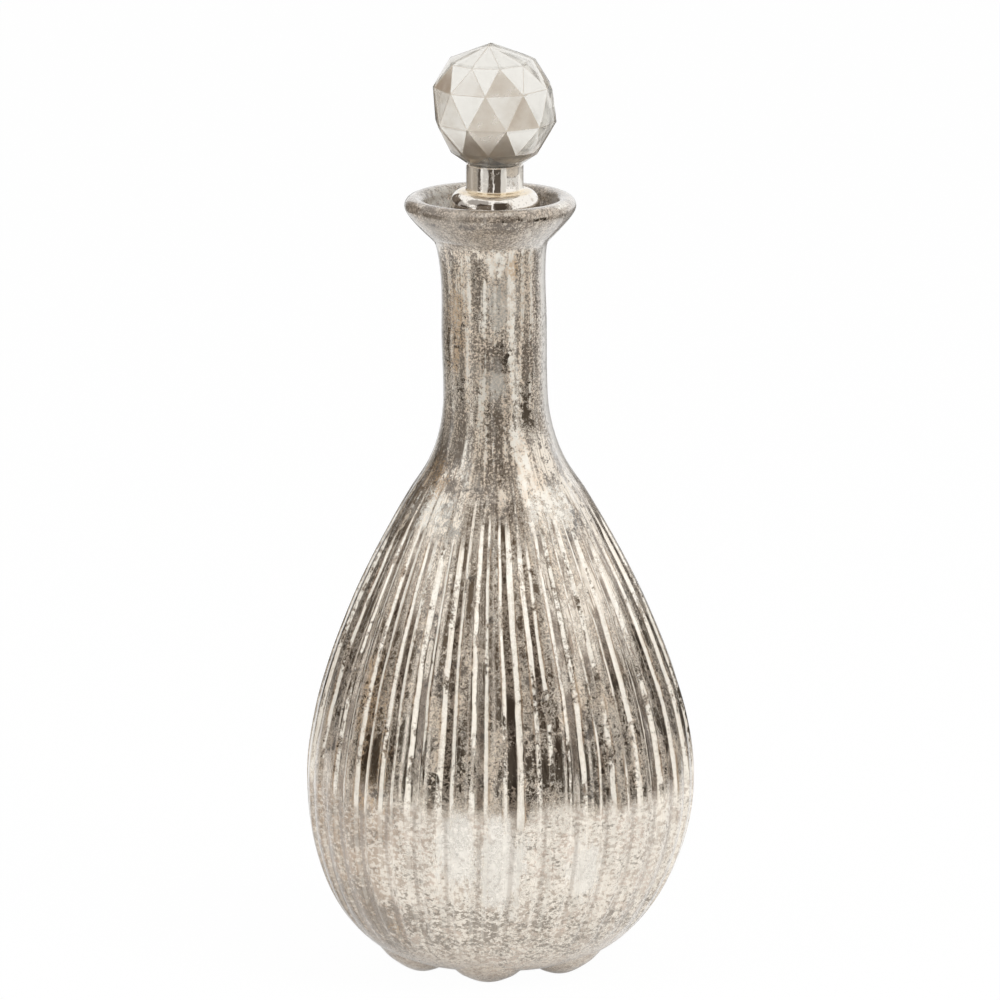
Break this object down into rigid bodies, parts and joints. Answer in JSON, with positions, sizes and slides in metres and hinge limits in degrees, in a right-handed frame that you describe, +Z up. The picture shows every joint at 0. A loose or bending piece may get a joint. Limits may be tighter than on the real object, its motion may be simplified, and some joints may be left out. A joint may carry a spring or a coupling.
{
  "type": "decanter",
  "caption": "Ribbed silvered glass decanter with a flared lip, rounded glass feet and a faceted ball stopper that lifts out and turns.",
  "frame": {"origin": "on the surface that the decanter stands on, under the centre of its bounding box, which is the decanter's axis", "axes": "+Z up along the decanter's axis, -Y towards the pictured side, +X to the right in the picture"},
  "size_m": [0.1366, 0.1366, 0.3297],
  "materials": {
    "silvered_glass": "antiqued mercury glass: mirror silver behind clear glass, broken by beige and brown speckle",
    "silver_coat": "thin chemically laid silver coat on the inside of the glass",
    "foot_glass": "applied gobs of the same silvered glass, glossy outside",
    "seal_plastic": "soft clear plastic sleeve",
    "bright_glass": "bright silvered glass with few spots",
    "cork": "fine agglomerated cork",
    "pearl_glass": "pearly champagne coat behind pressed clear facets"
  },
  "bodies": {
    "bottle": {"bottle": "silvered_glass", "silver_lining": "silver_coat", "foot_1": "foot_glass", "foot_2": "foot_glass", "foot_3": "foot_glass", "foot_4": "foot_glass", "foot_5": "foot_glass", "foot_6": "foot_glass"},
    "seal": {"stopper_seal": "seal_plastic"},
    "stopper": {"shank": "bright_glass", "peg_plug": "cork", "knob": "pearl_glass"}
  },
  "joints": [
    {"name": "stopper_lift", "type": "slide", "parent": "bottle", "child": "seal", "axis": [0, 0, 1], "range_m": [0, 0.06]},
    {"name": "stopper_turn", "type": "hinge", "parent": "seal", "child": "stopper", "pos_m": [0, 0, 0.262], "axis": [0, 0, 1], "continuous": true}
  ]
}
